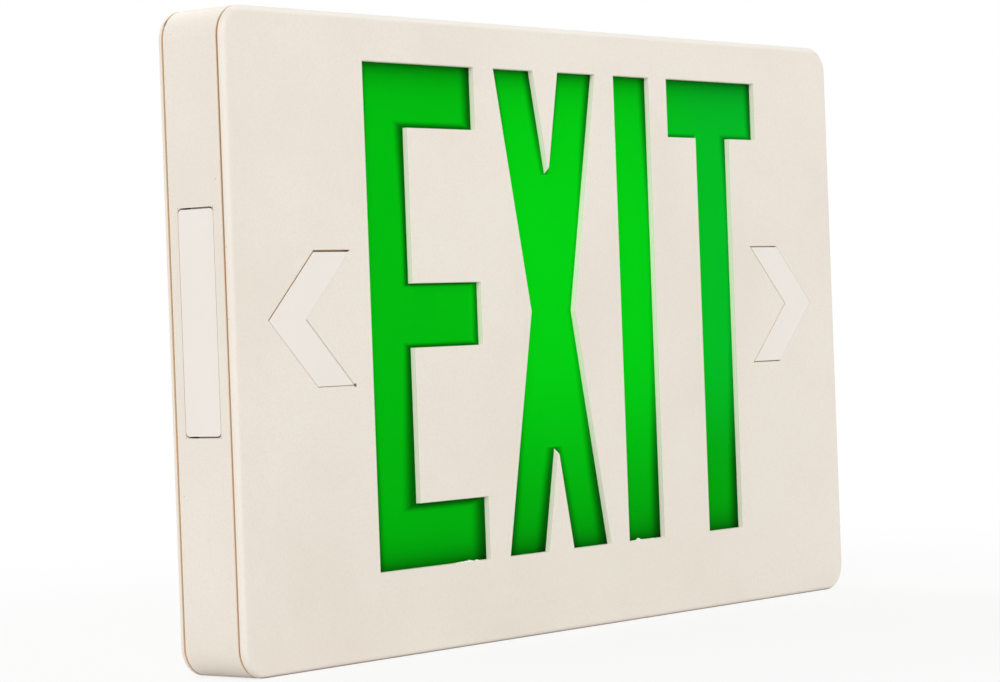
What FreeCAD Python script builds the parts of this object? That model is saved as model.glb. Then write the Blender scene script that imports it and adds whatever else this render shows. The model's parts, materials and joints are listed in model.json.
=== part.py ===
import FreeCAD, Part
import math
import os

# Slim thermoplastic exit sign, lit from inside by two rows of LEDs behind a green lens.
# Millimetres. X runs to the right as the sign is read, Y from its front to the wall, Z up.
# The origin is the centre of the back plate's face that lies on the wall.

# Housing
housing_width = 309.0
housing_height = 192.4
housing_depth = 25.8
corner_radius = 9.0
wall = 2.2
face_thickness = 1.9
face_edge_radius = 1.5
opening_edge_chamfer = 0.2
front_seam = 0.7
back_thickness = 1.6
back_edge_chamfer = 0.6
back_seam = 0.4
ring_edge_chamfer = 0.3

# Legend, cut through the faceplate
letter_height = 152.4
stroke = 19.45
e_width = 51.8
x_width = 52.2
t_width = 51.2
letter_gap = 9.8
x_arm = 19.7
x_waist = 22.3
x_crotch = 0.9
x_crotch_back = 0.1
legend_x = 7.0
legend_z = 5.9

# Direction chevrons, each with an insert held between the faceplate and the lens
chevron_inset = 14.9
chevron_band = 15.95
chevron_half_height = 20.0
chevron_slope = 1.01
insert_clearance = 0.15
insert_end_clearance = 0.35
insert_slip = 0.2
insert_lip = 1.0
insert_lip_thickness = 0.8

# Lens and the tabs of the faceplate that hold it by its long edges
lens_thickness = 1.0
lens_margin = 4.0
lens_corner_radius = 6.0
tab_count = 4
tab_pitch = 70.0
tab_width = 9.0
tab_leg = 1.2
tab_reach = 1.5
tab_thickness = 0.9
tab_clearance = 0.2

# Skirts and snap hooks that fit inside the housing wall
skirt_clearance = 0.3
skirt_thickness = 1.5
front_skirt_depth = 3.0
back_skirt_depth = 2.2
hook_width = 12.0
hook_depth = 6.0
hook_barb_length = 2.2
hook_reach = 0.7
hook_clearance = 0.2
hook_inset = 59.5
hook_z = 58.0

# Blank covers over the end and top mounting openings
cover_length = 65.0
cover_width = 13.8
cover_setback = 13.1
cover_corner_radius = 1.3
cover_end_gap = 0.5
cover_side_gap = 0.1
cover_arm_width = 8.0
cover_arm_depth = 3.0
cover_arm_thickness = 1.8
cover_barb = 1.2
cover_barb_height = 0.8
cover_barb_gap = 0.1

# Back plate: wire entry, wall-box holes and keyholes
entry_radius = 11.1
entry_collar_wall = 2.0
entry_collar_height = 2.0
box_spacing = 88.9
box_hole_radius = 2.4
keyhole_spacing = 203.2
keyhole_z = 45.0
keyhole_head_radius = 4.2
keyhole_slot_radius = 2.1
keyhole_travel = 8.0
rib_thickness = 1.2
rib_height = 2.0
rib_x = 122.0
rib_z = 60.0

# Light baffle
compartment_height = 19.5
baffle_thickness = 1.5
baffle_clearance = 0.3
baffle_flange = 5.0
baffle_flange_thickness = 1.2
ledge_reach = 3.0
ledge_thickness = 2.0
supply_notch_length = 14.0
supply_notch_depth = 8.0
lead_notch = 5.0
board_lead_notch = 2.5

# LED boards
led_board_length = 240.0
led_board_width = 8.0
led_board_thickness = 1.0
led_count = 10
led_pitch = 22.0
led_length = 3.5
led_width = 2.8
led_height = 1.2
led_drop = 4.5
led_bracket_count = 4
led_bracket_pitch = 44.0
bracket_length = 6.0
bracket_leg = 1.2
bracket_gap = 0.2
bracket_lip = 0.9
board_screw_radius = 1.0
board_head_radius = 2.0
board_head_height = 1.2
board_screw_length = 4.0
screw_hole_clearance = 0.2
thread_clearance = 0.05
pilot_extra_depth = 1.5
recess_reach = 1.1
recess_width = 0.6
recess_depth = 0.8

# Driver board, with its components in a row from the left
compartment_gap = 10.0
part_gap = 2.0
row_gap = 1.0
driver_width = 17.0
driver_thickness = 1.6
driver_post_radius = 2.4
driver_post_inset = 3.5
transformer_length = 18.0
transformer_width = 14.0
transformer_height = 9.0
transformer_core = 4.5
transformer_window = 2.0
transformer_bevel = 1.0
transformer_foot = 1.0
terminal_length = 15.0
terminal_width = 8.0
terminal_height = 8.5
terminal_count = 3
terminal_port = 2.8
terminal_port_rise = 3.0
terminal_well_depth = 2.6
terminal_bevel = 1.6
capacitor_count = 2
capacitor_radius = 4.0
capacitor_length = 12.0
resistor_count = 5
resistor_length = 3.2
resistor_width = 1.6
resistor_height = 0.6
diode_count = 4
diode_length = 4.3
diode_width = 2.6
diode_height = 2.1
diode_foot = 0.3
diode_foot_reach = 0.6
diode_foot_width = 1.6
transistor_y = 4.5
transistor_length = 6.0
transistor_thickness = 3.5
transistor_body = 4.8
transistor_tab_length = 4.8
transistor_tab_thickness = 1.2

# Battery pack, its clips and the two inside leads
battery_inset = 16.5
battery_cells = 2
cell_length = 50.0
battery_radius = 7.3
clip_thickness = 0.6
clip_clearance = 0.1
clip_width = 8.0
clip_inset = 25.0
clip_grip = 0.8
connector_length = 6.0
connector_width = 8.4
connector_height = 6.0
connector_rib_length = 2.4
connector_rib_drop = 1.6
wire_width = 1.1
wire_pitch = 2.5
led_connector_height = 5.0
led_lead_width = 2.4
led_lead_thickness = 0.9
led_lead_inset = 8.5
led_lead_edge = 0.1
led_lead_bend = 5.0

# Test button, switch and status indicator, in the bottom wall
button_inset = 34.0
button_radius = 4.9
button_clearance = 0.1
button_recess = 0.3
button_edge_chamfer = 0.4
button_travel = 1.5
press_clearance = 1.05
collar_height = 1.4
collar_wall = 1.6
flange_overhang = 1.3
flange_thickness = 0.8
flange_gap = 0.05
switch_size = 6.2
switch_height = 3.2
plunger_width = 3.2
plunger_clearance = 0.1
plunger_engagement = 1.3
indicator_inset = 20.0
indicator_radius = 2.4
indicator_clearance = 0.1
indicator_recess = 0.3

# Places worked out from the sizes above
half_width = housing_width / 2
half_height = housing_height / 2
face_y = -housing_depth
plate_back_y = face_y + face_thickness
ring_front_y = plate_back_y + front_seam
ring_back_y = -(back_thickness + back_seam)
back_inner_y = -back_thickness
lens_back_y = plate_back_y + lens_thickness
cover_y = face_y + cover_setback
inner_top = half_height - wall
inner_bottom = -inner_top
inner_side = half_width - wall
middle_y = cover_y

word_width = e_width + x_width + stroke + t_width + 3 * letter_gap
word_left = legend_x - word_width / 2
letter_low = legend_z - letter_height / 2
letter_high = legend_z + letter_height / 2

chevron_tip = half_width - chevron_inset
lens_half_width = chevron_tip + lens_margin
lens_low = letter_low - lens_margin
lens_high = letter_high + lens_margin

baffle_top = inner_bottom + compartment_height + baffle_thickness
baffle_front_y = lens_back_y + tab_thickness + baffle_clearance
baffle_end_y = plate_back_y + front_skirt_depth + baffle_clearance
baffle_back_y = back_inner_y - max(rib_height, back_skirt_depth) - baffle_clearance
bracket_width = led_board_width + 2 * (bracket_gap + bracket_leg)

upper_board_z = inner_top - led_drop - led_board_thickness
lower_board_z = baffle_top

battery_left = -half_width + battery_inset
battery_right = battery_left + battery_cells * cell_length
battery_z = inner_bottom + clip_thickness + clip_clearance + battery_radius

driver_left = battery_right + compartment_gap
end_margin = driver_post_inset + board_head_radius + part_gap
battery_connector_x = driver_left + end_margin + connector_length / 2
terminal_x = battery_connector_x + connector_length / 2 + part_gap + terminal_length / 2
resistor_pitch = resistor_width + row_gap
resistor_x = terminal_x + terminal_length / 2 + part_gap + resistor_length / 2
transformer_x = resistor_x + resistor_length / 2 + part_gap + transformer_length / 2
capacitor_pitch = 2 * capacitor_radius + row_gap
capacitor_x = transformer_x + transformer_length / 2 + part_gap + capacitor_radius
capacitor_end = capacitor_x + (capacitor_count - 1) * capacitor_pitch + capacitor_radius
diode_pitch = diode_width + row_gap
diode_x = capacitor_end + part_gap + diode_length / 2 + diode_foot_reach
diode_end = diode_x + diode_length / 2 + diode_foot_reach
transistor_x = diode_end + part_gap + transistor_length / 2
led_connector_x = transistor_x + transistor_length / 2 + part_gap + connector_length / 2
driver_right = led_connector_x + connector_length / 2 + end_margin
button_x = driver_right - button_inset
indicator_x = driver_right - indicator_inset
collar_top = inner_bottom + collar_height
button_hole_radius = button_radius + button_clearance
flange_low = collar_top + flange_gap
flange_high = flange_low + flange_thickness
switch_low = flange_high + button_travel + press_clearance
driver_z = switch_low + switch_height
driver_top = driver_z + driver_thickness
led_lead_x = half_width - led_lead_inset
led_lead_y = middle_y - led_board_width / 2 + led_lead_width / 2 + led_lead_edge

hook_x = half_width - hook_inset
hook_places = [(side, x) for side in ("top", "bottom") for x in (-hook_x, hook_x)]
hook_places += [(side, legend_z + z) for side in ("left", "right") for z in (-hook_z, hook_z)]


def vector(x, y, z):
    return FreeCAD.Vector(x, y, z)


def box(x, y, z):
    """A box from three (low, high) pairs."""
    return Part.makeBox(x[1] - x[0], y[1] - y[0], z[1] - z[0], vector(x[0], y[0], z[0]))


def around(centre, size):
    return (centre - size / 2, centre + size / 2)


def edges_along(solid, axis):
    """The straight edges of a solid that run along axis 0, 1 or 2."""
    found = []
    for edge in solid.Edges:
        if len(edge.Vertexes) == 2:
            run = edge.Vertexes[1].Point - edge.Vertexes[0].Point
            if abs(abs(run[axis]) - run.Length) < 1e-6:
                found.append(edge)
    return found


def edges_in_plane(solid, axis, place):
    """The edges of a solid that lie in the plane where the coordinate on axis is place."""
    limits = ("XMin", "XMax"), ("YMin", "YMax"), ("ZMin", "ZMax")
    low, high = limits[axis]
    return [edge for edge in solid.Edges
            if abs(getattr(edge.BoundBox, low) - place) < 1e-4
            and abs(getattr(edge.BoundBox, high) - place) < 1e-4]


def rounded_slab(half_x, half_z, radius, y):
    """An upright plate about the Y axis with rounded corners."""
    slab = box((-half_x, half_x), y, (-half_z, half_z))
    return slab.makeFillet(radius, edges_along(slab, 1))


def prism_y(outline, y):
    """An outline of (x, z) points drawn out along Y."""
    corners = [vector(x, y[0], z) for x, z in outline]
    face = Part.Face(Part.makePolygon(corners + corners[:1]))
    return face.extrude(vector(0, y[1] - y[0], 0))


def prism_x(outline, x):
    """An outline of (y, z) points drawn out along X."""
    corners = [vector(x[0], y, z) for y, z in outline]
    face = Part.Face(Part.makePolygon(corners + corners[:1]))
    return face.extrude(vector(x[1] - x[0], 0, 0))


def rod_x(y, z, radius, x):
    return Part.makeCylinder(radius, x[1] - x[0], vector(x[0], y, z), vector(1, 0, 0))


def rod_y(x, z, radius, y):
    return Part.makeCylinder(radius, y[1] - y[0], vector(x, y[0], z), vector(0, 1, 0))


def rod_z(x, y, radius, z):
    return Part.makeCylinder(radius, z[1] - z[0], vector(x, y, z[0]), vector(0, 0, 1))


def joined(solids):
    return solids[0].multiFuse(solids[1:]).removeSplitter()


def mirrored_x(solid):
    return solid.mirror(vector(0, 0, 0), vector(1, 0, 0))


def on_wall(solid, side, along):
    """Place a solid drawn on a wall whose outer face is z = 0 on one of the four walls."""
    turn, x, z = {
        "top": (0, along, half_height),
        "right": (90, half_width, along),
        "bottom": (180, along, -half_height),
        "left": (270, -half_width, along),
    }[side]
    placed = solid.copy()
    placed.rotate(vector(0, 0, 0), vector(0, 1, 0), turn)
    placed.translate(vector(x, 0, z))
    return placed


def screw(head_radius, head_height, shank_radius, length):
    """A pan-head screw that points along +Z, with the top of its head at z = 0."""
    head = Part.makeCylinder(head_radius, head_height)
    shank = rod_z(0, 0, shank_radius, (head_height, head_height + length))
    cross = [box((-recess_reach, recess_reach), around(0, recess_width), (0, recess_depth)),
             box(around(0, recess_width), (-recess_reach, recess_reach), (0, recess_depth))]
    return head.fuse(shank).cut(joined(cross))


def pointed(solid, place, axis):
    """Turn a +Z screw to another axis and move its head there."""
    placed = solid.copy()
    placed.Placement = FreeCAD.Placement(place, FreeCAD.Rotation(vector(0, 0, 1), axis))
    return placed


def bent_strip(points, width, thickness, bend):
    """A flat lead that lies in an XZ plane, along straight runs joined by tangent arcs."""
    edges = []
    start = points[0]
    for before, corner, after in zip(points, points[1:], points[2:]):
        into = (corner - before).normalize()
        out = (after - corner).normalize()
        turn = into.getAngle(out)
        cut = bend * math.tan(turn / 2)
        arc_start = corner - into * cut
        arc_end = corner + out * cut
        inward = (out - into).normalize()
        middle = corner + inward * (bend / math.cos(turn / 2) - bend)
        edges.append(Part.LineSegment(start, arc_start).toShape())
        edges.append(Part.Arc(arc_start, middle, arc_end).toShape())
        start = arc_end
    edges.append(Part.LineSegment(start, points[-1]).toShape())
    y = around(points[0].y, width)
    z = around(points[0].z, thickness)
    section = [vector(points[0].x, y[i], z[j]) for i, j in ((0, 0), (1, 0), (1, 1), (0, 1), (0, 0))]
    return Part.Wire(edges).makePipeShell([Part.makePolygon(section)], True, False)


# Legend and chevron outlines

def letter_e(left, y):
    low, high = letter_low, letter_high
    middle = legend_z
    bars = [(low, low + stroke), (middle - stroke / 2, middle + stroke / 2), (high - stroke, high)]
    return joined([box((left, left + stroke), y, (low, high))]
                  + [box((left, left + e_width), y, bar) for bar in bars])


def letter_x(left, y):
    """Four parallel-sided arms that meet in a waist, with crotches that slope back from blunt to sharp."""
    centre = left + x_width / 2
    half = letter_height / 2
    lean = (x_width - x_waist) / 2 / half
    blunt, sharp = (half - (x_width / 2 - x_arm - tip / 2) / lean for tip in (x_crotch, x_crotch_back))
    quarter = [(x_width / 2, half), (x_width / 2 - x_arm, half), (x_crotch_back / 2, sharp)]
    top = quarter + [(-x, z) for x, z in reversed(quarter)]
    bottom = [(-x, -z) for x, z in top]
    outline = top + [(-x_waist / 2, 0)] + bottom + [(x_waist / 2, 0)]
    arms = prism_y([(centre + x, legend_z + z) for x, z in outline], y)
    slopes = [prism_x([(y[0], legend_z + way * blunt), (y[0], legend_z + way * sharp),
                       (y[1], legend_z + way * sharp)], around(centre, 2 * x_crotch))
              for way in (1, -1)]
    return joined([arms] + slopes)


def letter_i(left, y):
    return box((left, left + stroke), y, (letter_low, letter_high))


def letter_t(left, y):
    stem = around(left + t_width / 2, stroke)
    return joined([box((left, left + t_width), y, (letter_high - stroke, letter_high)),
                   box(stem, y, (letter_low, letter_high))])


def legend(y):
    """The four letter openings, from the left."""
    letters = []
    left = word_left
    for letter, width in ((letter_e, e_width), (letter_x, x_width), (letter_i, stroke), (letter_t, t_width)):
        letters.append(letter(left, y))
        left += width + letter_gap
    return letters


def chevron(side_grow, end_grow, y):
    """The right-hand chevron, grown by one margin at its slanted sides and another at its ends."""
    slant = math.hypot(1, chevron_slope)
    outer = chevron_tip + side_grow * slant
    inner = chevron_tip - chevron_band - side_grow * slant
    end = chevron_half_height + end_grow
    back = chevron_slope * end
    outline = [(outer, 0), (outer - back, end), (inner - back, end),
               (inner, 0), (inner - back, -end), (outer - back, -end)]
    return prism_y([(x, legend_z + z) for x, z in outline], y)


# Outer shell

def skirt(depth, y):
    """Four bars that stand inside the housing walls and stop short of its corners."""
    bars = []
    for side, span in (("top", housing_width), ("bottom", housing_width),
                       ("left", housing_height), ("right", housing_height)):
        bar = box(around(0, span - 2 * corner_radius), (y, y + depth),
                  (-wall - skirt_clearance - skirt_thickness, -wall - skirt_clearance))
        bars.append(on_wall(bar, side, 0))
    return bars


def hook(base, way):
    """A snap hook that runs from y = base along way, drawn on a wall whose outer face is z = 0."""
    outside = -(wall + skirt_clearance)
    inside = outside - skirt_thickness
    end = base + way * hook_depth
    barb = end - way * hook_barb_length
    tip = -wall + hook_reach
    outline = [(base, inside), (end, inside), (end, outside),
               (barb + way * hook_reach, tip), (barb, tip), (barb, outside), (base, outside)]
    return prism_x(outline, around(0, hook_width))


def hook_pocket(base, way):
    """The pocket that a snap hook's barb drops into."""
    barb = base + way * (hook_depth - hook_barb_length - hook_clearance)
    y = sorted((barb, base + way * (hook_depth + hook_clearance)))
    z = (-wall, -wall + hook_reach + hook_clearance)
    return box(around(0, hook_width + 2 * hook_clearance), y, z)


def lens_tabs():
    """L-shaped tabs over the upper and lower edges of the lens."""
    back = lens_back_y + tab_thickness
    tabs = []
    for edge, way in ((lens_high, 1), (lens_low, -1)):
        leg = sorted((edge + way * tab_clearance, edge + way * (tab_clearance + tab_leg)))
        reach = sorted((edge - way * tab_reach, edge + way * (tab_clearance + tab_leg)))
        for index in range(tab_count):
            x = around((index - (tab_count - 1) / 2) * tab_pitch, tab_width)
            tabs += [box(x, (plate_back_y, back), leg), box(x, (lens_back_y, back), reach)]
    return tabs


def front_faceplate():
    """One moulding: the plate with its openings, skirt, snap hooks and lens tabs."""
    plate = rounded_slab(half_width, half_height, corner_radius, (face_y, plate_back_y))
    plate = plate.makeFillet(face_edge_radius, edges_in_plane(plate, 1, face_y))
    through = (face_y, plate_back_y)
    step = (plate_back_y - insert_lip_thickness, plate_back_y)
    right = [chevron(0, 0, through), chevron(insert_lip, 0, step)]
    plate = plate.cut(legend(through) + right + [mirrored_x(solid) for solid in right])
    front = max((face for face in plate.Faces if face.BoundBox.YMax < face_y + 1e-4), key=lambda f: f.Area)
    outline = front.OuterWire
    rims = [edge for wire in front.Wires if not wire.isSame(outline) for edge in wire.Edges]
    plate = plate.makeChamfer(opening_edge_chamfer, rims)
    added = skirt(front_skirt_depth, plate_back_y)
    added += [on_wall(hook(plate_back_y, 1), side, along) for side, along in hook_places]
    return joined([plate] + added + lens_tabs())


def green_lens():
    y = (plate_back_y, lens_back_y)
    sheet = box((-lens_half_width, lens_half_width), y, (lens_low, lens_high))
    return sheet.makeFillet(lens_corner_radius, edges_along(sheet, 1))


def chevron_insert():
    """A flush plug with a lip along its slanted sides, which the lens clamps into the faceplate's step."""
    plug = chevron(-insert_clearance, -insert_end_clearance, (face_y, plate_back_y))
    lip = chevron(insert_lip - insert_clearance, -insert_end_clearance,
                  (plate_back_y - insert_lip_thickness, plate_back_y))
    return joined([plug, lip])


def right_chevron_insert():
    return chevron_insert()


def left_chevron_insert():
    """The same insert turned over, a little low in its opening."""
    placed = mirrored_x(chevron_insert())
    placed.translate(vector(0, 0, -insert_slip))
    return placed


def cover_opening():
    length = cover_length + 2 * cover_end_gap
    width = cover_width + 2 * cover_side_gap
    opening = box(around(0, length), around(cover_y, width), (-wall, 0))
    return opening.makeFillet(cover_corner_radius, edges_along(opening, 2))


def blank_cover():
    """A flush cover with a barbed arm at each end, drawn on a wall whose outer face is z = 0."""
    plate = box(around(0, cover_length), around(cover_y, cover_width), (-wall, 0))
    plate = plate.makeFillet(cover_corner_radius, edges_along(plate, 2))
    end = cover_length / 2
    under = -wall - cover_barb_gap
    outline = [(end - cover_arm_thickness, -wall), (end, -wall), (end, under),
               (end + cover_barb, under), (end + cover_barb, under - cover_barb_height),
               (end - cover_arm_thickness / 2, -wall - cover_arm_depth),
               (end - cover_arm_thickness, -wall - cover_arm_depth)]
    arm = prism_y(outline, around(cover_y, cover_arm_width))
    return joined([plate, arm, mirrored_x(arm)])


def left_side_cover():
    return on_wall(blank_cover(), "left", legend_z)


def right_side_cover():
    return on_wall(blank_cover(), "right", legend_z)


def top_cover():
    return on_wall(blank_cover(), "top", 0)


def baffle_ledge():
    """The shelf on the right-hand wall that carries one end of the light baffle."""
    under = baffle_top - baffle_thickness
    outline = [(inner_side, under), (inner_side - ledge_reach, under),
               (inner_side - ledge_reach, under - ledge_thickness / 2), (inner_side, under - ledge_thickness)]
    return prism_y(outline, (baffle_end_y, baffle_back_y - baffle_flange_thickness))


def driver_posts():
    """The front post at the left end of the board and the back post at its right end."""
    reach = driver_width / 2 - driver_post_inset
    return [(driver_left + driver_post_inset, middle_y - reach),
            (driver_right - driver_post_inset, middle_y + reach)]


def led_bracket_places():
    return [(index - (led_bracket_count - 1) / 2) * led_bracket_pitch for index in range(led_bracket_count)]


def led_bracket(x, base, board, way):
    """A block on z = base that holds an LED board by its long edges, with lips over its lit side."""
    low, high = board, board + led_board_thickness
    lit = high if way > 0 else low
    z = sorted((base, lit + way * bracket_lip))
    block = box(around(x, bracket_length), around(middle_y, bracket_width), z)
    slot = box(around(x, bracket_length), around(middle_y, led_board_width + 2 * bracket_gap), (low, high))
    mouth = box(around(x, bracket_length), around(middle_y, led_board_width - 2 * bracket_lip),
                sorted((lit, lit + way * bracket_lip)))
    return block.cut([slot, mouth])


def housing_frame():
    """The side walls in one moulding, with bosses, ledges, pockets and the button's collar."""
    y = (ring_front_y, ring_back_y)
    outer = rounded_slab(half_width, half_height, corner_radius, y)
    rims = edges_in_plane(outer, 1, ring_front_y) + edges_in_plane(outer, 1, ring_back_y)
    outer = outer.makeChamfer(ring_edge_chamfer, rims)
    ring = outer.cut(rounded_slab(inner_side, inner_top, corner_radius - wall, y))

    added = [baffle_ledge(), mirrored_x(baffle_ledge())]
    added += [led_bracket(x, inner_top, upper_board_z, -1) for x in led_bracket_places()]
    added += [rod_z(x, place_y, driver_post_radius, (inner_bottom, driver_z))
              for x, place_y in driver_posts()]
    added.append(rod_z(button_x, middle_y, button_hole_radius + collar_wall, (inner_bottom, collar_top)))

    cut = [on_wall(cover_opening(), side, along)
           for side, along in (("left", legend_z), ("right", legend_z), ("top", 0))]
    cut += [on_wall(hook_pocket(base, way), side, along)
            for base, way in ((plate_back_y, 1), (back_inner_y, -1)) for side, along in hook_places]
    board_depth = board_screw_length - driver_thickness + pilot_extra_depth
    cut += [rod_z(x, place_y, board_screw_radius + thread_clearance, (driver_z - board_depth, driver_z))
            for x, place_y in driver_posts()]
    cut.append(rod_z(button_x, middle_y, button_hole_radius, (-half_height, collar_top)))
    cut.append(rod_z(indicator_x, middle_y, indicator_radius + indicator_clearance,
                     (-half_height, inner_bottom)))
    return joined([ring] + added).cut(cut).removeSplitter()


def keyhole(x):
    """A head hole with a narrower slot above it."""
    y = (back_inner_y, 0)
    slot = box(around(x, 2 * keyhole_slot_radius), y, (keyhole_z, keyhole_z + keyhole_travel))
    return joined([rod_y(x, keyhole_z, keyhole_head_radius, y), slot,
                   rod_y(x, keyhole_z + keyhole_travel, keyhole_slot_radius, y)])


def back_plate():
    """A flat back with a skirt, snap hooks, ribs, the wire entry, wall-box holes and keyholes."""
    plate = rounded_slab(half_width, half_height, corner_radius, (back_inner_y, 0))
    plate = plate.makeChamfer(back_edge_chamfer, edges_in_plane(plate, 1, 0))
    inset = wall + skirt_clearance + skirt_thickness
    rib_y = (back_inner_y - rib_height, back_inner_y)
    rib_end_x = half_width - inset
    rib_end_z = half_height - inset
    added = skirt(back_skirt_depth, back_inner_y - back_skirt_depth)
    added += [box((-rib_end_x, rib_end_x), rib_y, around(z, rib_thickness)) for z in (-rib_z, rib_z)]
    added += [box(around(x, rib_thickness), rib_y, (-rib_end_z, rib_end_z)) for x in (-rib_x, rib_x)]
    added.append(rod_y(0, 0, entry_radius + entry_collar_wall,
                       (back_inner_y - entry_collar_height, back_inner_y)))
    added += [on_wall(hook(back_inner_y, -1), side, along) for side, along in hook_places]
    cut = [rod_y(0, 0, entry_radius, (back_inner_y - entry_collar_height, 0))]
    cut += [rod_y(x, 0, box_hole_radius, (back_inner_y, 0)) for x in (-box_spacing / 2, box_spacing / 2)]
    cut += [keyhole(x) for x in (-keyhole_spacing / 2, keyhole_spacing / 2)]
    return joined([plate] + added).cut(cut).removeSplitter()


# Light box

def light_baffle():
    """The shelf under the legend, with a turned-down flange and notches for the wires."""
    half = inner_side - baffle_clearance
    front_half = half - skirt_clearance - skirt_thickness
    under = baffle_top - baffle_thickness
    shelf = box((-half, half), (baffle_end_y, baffle_back_y), (under, baffle_top))
    front = box((-front_half, front_half), (baffle_front_y, baffle_end_y), (under, baffle_top))
    flange_half = half - ledge_reach
    flange = box((-flange_half, flange_half), (baffle_back_y - baffle_flange_thickness, baffle_back_y),
                 (under - baffle_flange, under))
    through = (under - baffle_flange, baffle_top)
    supply = box(around(terminal_x, supply_notch_length),
                 (baffle_back_y - supply_notch_depth, baffle_back_y), through)
    side_lead = box((led_lead_x - lead_notch / 2, half), around(led_lead_y, lead_notch), through)
    board_lead = box(around(led_connector_x, board_lead_notch), around(middle_y, lead_notch), through)
    brackets = [led_bracket(x, baffle_top, lower_board_z, 1) for x in led_bracket_places()]
    return joined([shelf, front, flange] + brackets).cut([supply, side_lead, board_lead]).removeSplitter()


def led_board(low):
    z = (low, low + led_board_thickness)
    return box(around(0, led_board_length), around(middle_y, led_board_width), z)


def upper_led_board():
    return led_board(upper_board_z)


def lower_led_board():
    return led_board(lower_board_z)


def led_row(base, up):
    """A row of surface LEDs that stand on z = base and point up (1) or down (-1)."""
    leds = []
    for index in range(led_count):
        x = (index - (led_count - 1) / 2) * led_pitch
        z = sorted((base, base + up * led_height))
        leds.append(box(around(x, led_length), around(middle_y, led_width), z))
    return Part.makeCompound(leds)


def upper_leds():
    return led_row(upper_board_z, -1)


def lower_leds():
    return led_row(lower_board_z + led_board_thickness, 1)


# Driver board and what stands on it

def driver_board():
    board = box((driver_left, driver_right), around(middle_y, driver_width), (driver_z, driver_top))
    return board.cut([rod_z(x, y, board_screw_radius + screw_hole_clearance, (driver_z, driver_top))
                      for x, y in driver_posts()])


def board_screws():
    board_screw = screw(board_head_radius, board_head_height, board_screw_radius, board_screw_length)
    head_z = driver_top + board_head_height
    return Part.makeCompound([pointed(board_screw, vector(x, y, head_z), vector(0, 0, -1))
                              for x, y in driver_posts()])


def transformer():
    """A laminated E core round a bobbin with its winding."""
    x = around(transformer_x, transformer_length)
    core = box(x, around(middle_y, transformer_core), (driver_top, driver_top + transformer_height))
    low = driver_top + transformer_window
    high = driver_top + transformer_height - transformer_window
    winding = box((x[0] + transformer_window, x[1] - transformer_window),
                  around(middle_y, transformer_width), (low, high))
    winding = winding.makeChamfer(transformer_bevel, edges_along(winding, 0))
    feet = box(x, around(middle_y, transformer_width), (driver_top, driver_top + transformer_foot))
    return joined([core, winding, feet])


def filter_capacitors():
    """Electrolytic cans that lie across the board."""
    return Part.makeCompound([rod_y(capacitor_x + index * capacitor_pitch, driver_top + capacitor_radius,
                                    capacitor_radius, around(middle_y, capacitor_length))
                              for index in range(capacitor_count)])


def resistors():
    """Chip resistors in a row across the board."""
    x = around(resistor_x, resistor_length)
    z = (driver_top, driver_top + resistor_height)
    return Part.makeCompound([box(x, around(middle_y + (index - (resistor_count - 1) / 2) * resistor_pitch,
                                            resistor_width), z)
                              for index in range(resistor_count)])


def diodes():
    """Flat-packed diodes, each with a foot at either end."""
    packs = []
    for index in range(diode_count):
        y = middle_y + (index - (diode_count - 1) / 2) * diode_pitch
        body = box(around(diode_x, diode_length), around(y, diode_width),
                   (driver_top + diode_foot, driver_top + diode_height))
        feet = box(around(diode_x, diode_length + 2 * diode_foot_reach), around(y, diode_foot_width),
                   (driver_top, driver_top + diode_foot))
        packs.append(joined([body, feet]))
    return Part.makeCompound(packs)


def power_transistor():
    """A tabbed transistor that lies flat on the board."""
    x = transistor_x
    y = middle_y - driver_width / 2 + transistor_y
    body_y = around(y, transistor_body)
    body = box(around(x, transistor_length), body_y, (driver_top, driver_top + transistor_thickness))
    tab = box(around(x, transistor_length), (body_y[1], body_y[1] + transistor_tab_length),
              (driver_top, driver_top + transistor_tab_thickness))
    return joined([body, tab])


def supply_terminal_block():
    """A row of clamps for the supply wires: a port in front of each and a screw well above."""
    x = around(terminal_x, terminal_length)
    y = around(middle_y, terminal_width)
    top = driver_top + terminal_height
    block = box(x, y, (driver_top, top))
    block = block.makeChamfer(terminal_bevel, [edge for edge in edges_in_plane(block, 2, top)
                                               if abs(edge.BoundBox.YMax - y[0]) < 1e-4])
    pitch = terminal_length / terminal_count
    wells = []
    for index in range(terminal_count):
        port_x = x[0] + (index + 0.5) * pitch
        port_z = driver_top + terminal_port_rise
        side = around(port_x, terminal_port)
        wells.append(box(side, (y[1] - terminal_width / 2, y[1]), around(port_z, terminal_port)))
        wells.append(box(side, around(middle_y, terminal_port), (top - terminal_well_depth, top)))
    return block.cut(wells)


def connector(x, height):
    """A small wire-to-board connector with a locking rib."""
    top = driver_top + height
    solid = box(around(x, connector_length), around(middle_y, connector_width), (driver_top, top))
    rib = box(around(x, connector_rib_length), around(middle_y - connector_width / 2, wire_width),
              (driver_top, top - connector_rib_drop))
    return joined([solid, rib])


def battery_connector():
    return connector(battery_connector_x, connector_height)


def led_connector():
    return connector(led_connector_x, led_connector_height)


# Battery

def battery_pack():
    """The cells end to end in one shrink sleeve."""
    return rod_x(middle_y, battery_z, battery_radius, (battery_left, battery_right))


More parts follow.
